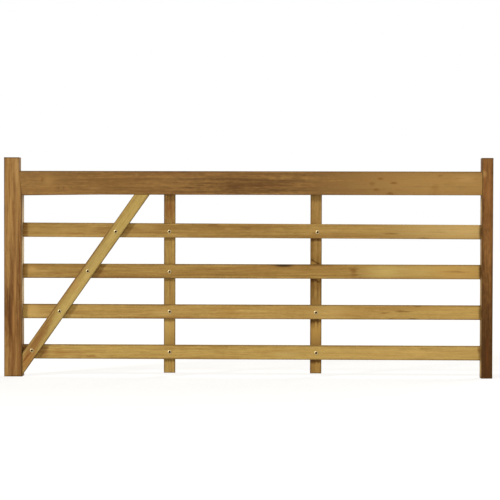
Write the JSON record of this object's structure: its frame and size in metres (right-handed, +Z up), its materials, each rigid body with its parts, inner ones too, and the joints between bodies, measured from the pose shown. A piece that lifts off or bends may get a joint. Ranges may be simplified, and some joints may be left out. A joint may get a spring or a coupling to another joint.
{
  "type": "wooden field gate leaf",
  "caption": "Barred timber field gate leaf with a deep top rail, thin lower rails, a sloping brace bolted in front and uprights bolted behind.",
  "frame": {"origin": "middle of the hanging stile's outer face: half way up the stile, on the leaf's middle plane", "axes": "+X from the hanging stile to the closing stile, +Z up, the front with the brace faces -Y"},
  "size_m": [2.7, 0.075, 1.215],
  "materials": {
    "stile_wood": "sawn softwood, brown stained, satin",
    "closing_stile_wood": "sawn softwood, dark brown stained, satin",
    "top_rail_wood": "sawn softwood, brown stained, satin",
    "rail_wood": "sawn softwood, golden tan, satin",
    "brace_wood": "sawn softwood, golden tan, satin",
    "upright_wood": "sawn softwood, tan, satin",
    "bolt_metal": "zinc plated, satin"
  },
  "bodies": {
    "root": {"hanging_stile": "stile_wood", "closing_stile": "closing_stile_wood", "top_rail": "top_rail_wood", "brace": "brace_wood", "left_upright": "upright_wood", "right_upright": "upright_wood", "second_rail": "rail_wood", "third_rail": "rail_wood", "fourth_rail": "rail_wood", "bottom_rail": "rail_wood"}
  },
  "joints": []
}
